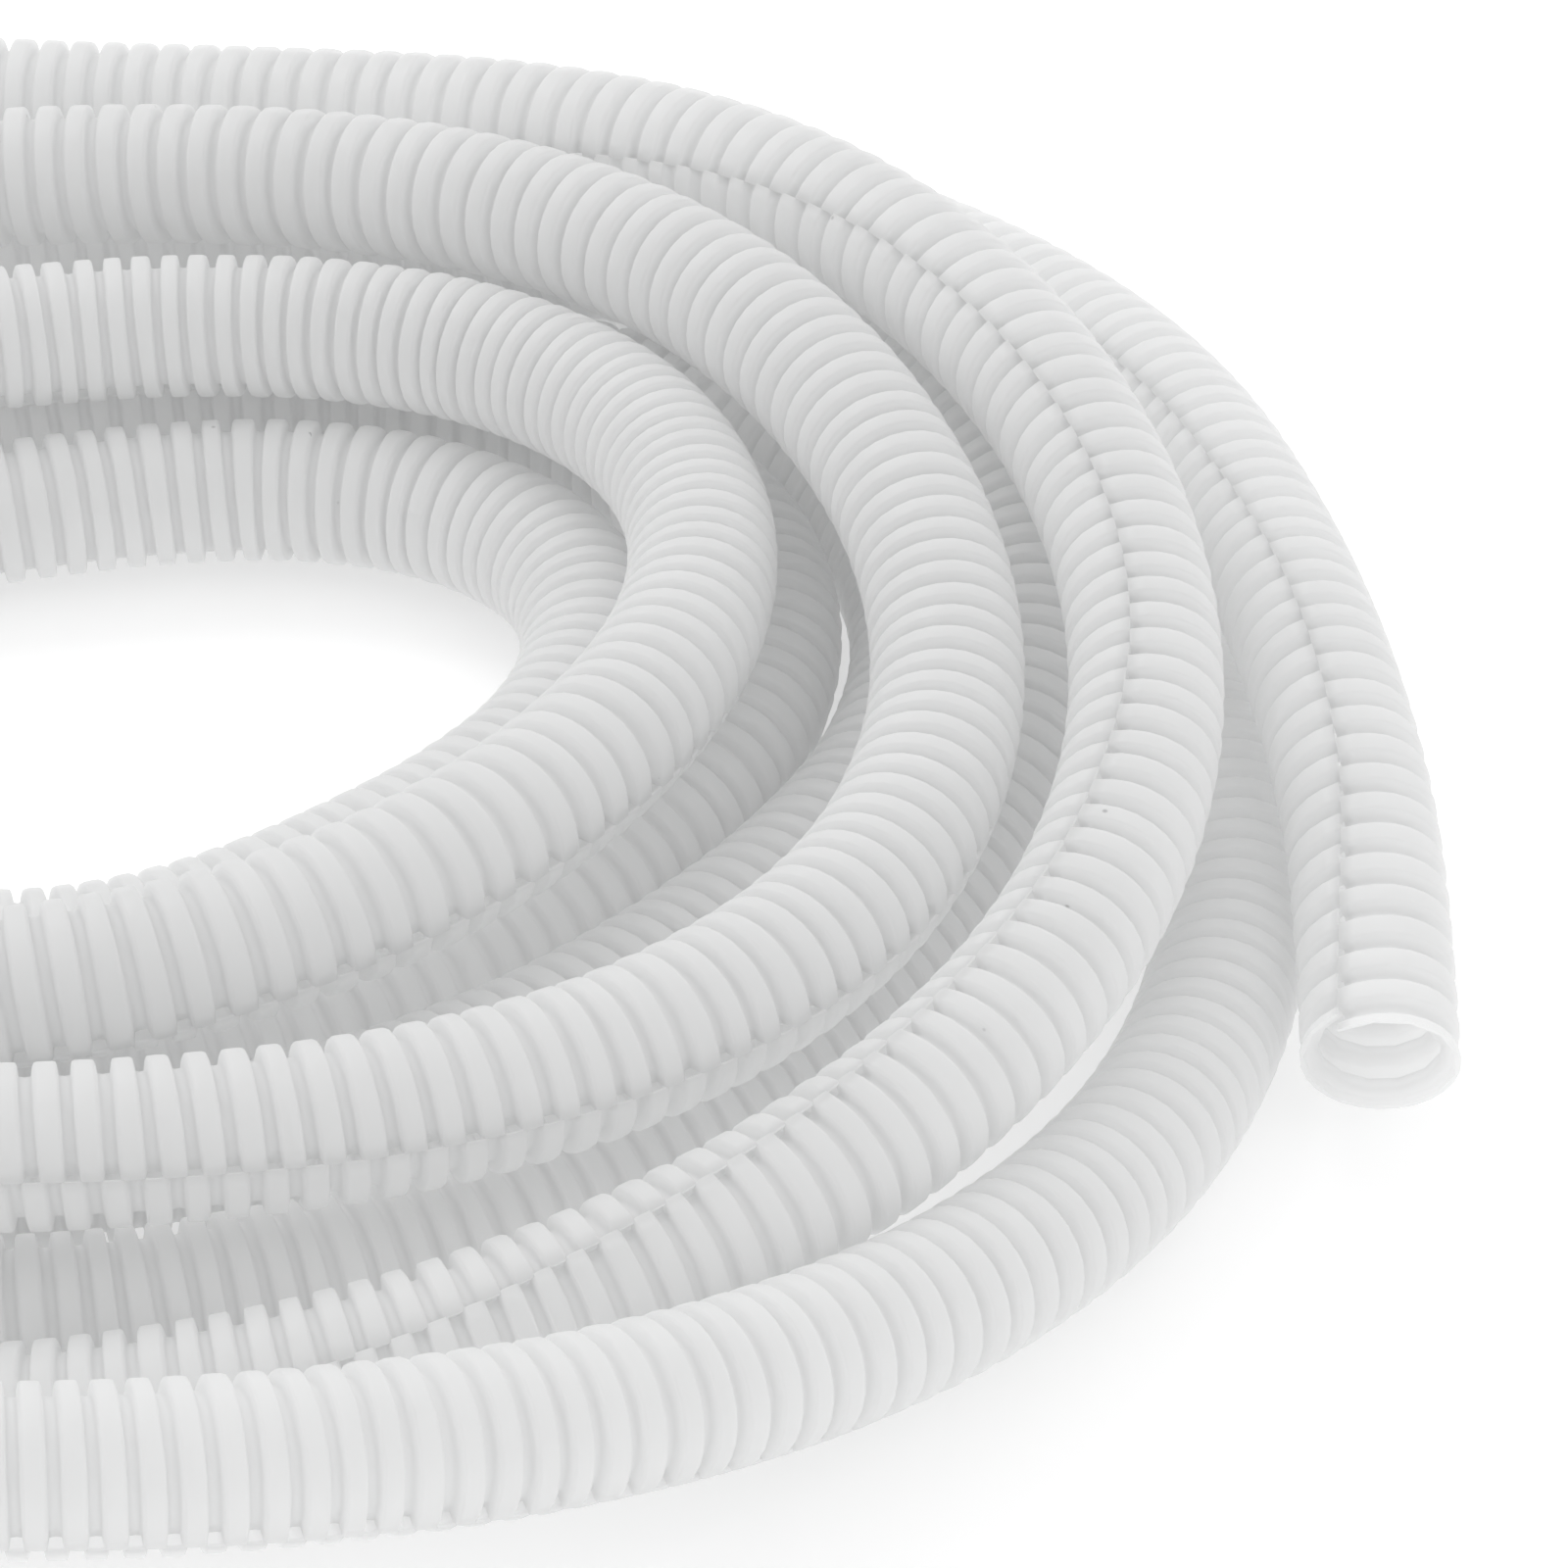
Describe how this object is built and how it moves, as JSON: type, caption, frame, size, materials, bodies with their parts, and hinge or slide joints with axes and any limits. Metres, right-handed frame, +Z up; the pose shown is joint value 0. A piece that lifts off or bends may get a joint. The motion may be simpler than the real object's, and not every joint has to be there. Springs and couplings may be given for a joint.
{
  "type": "corrugated hose",
  "caption": "Loose untied coil of milky translucent corrugated plastic hose, slit along its length, with both cut ends free.",
  "frame": {"origin": "on the floor under the middle of the coil's footprint", "axes": "+Z up; +Y from the front of the coil to its back; +X towards the loose end on the right"},
  "size_m": [0.2578, 0.2419, 0.0387],
  "materials": {
    "hose": "milky translucent polyethylene, soft gloss"
  },
  "bodies": {
    "root": {"right_end": "hose", "turn_1_front": "hose", "turn_2_upper": "hose", "turn_3_top_inner": "hose", "turn_4_innermost": "hose", "turn_5_floor": "hose", "turn_6_floor": "hose", "turn_7_middle": "hose", "turn_8_outer": "hose", "left_end": "hose"}
  },
  "joints": []
}
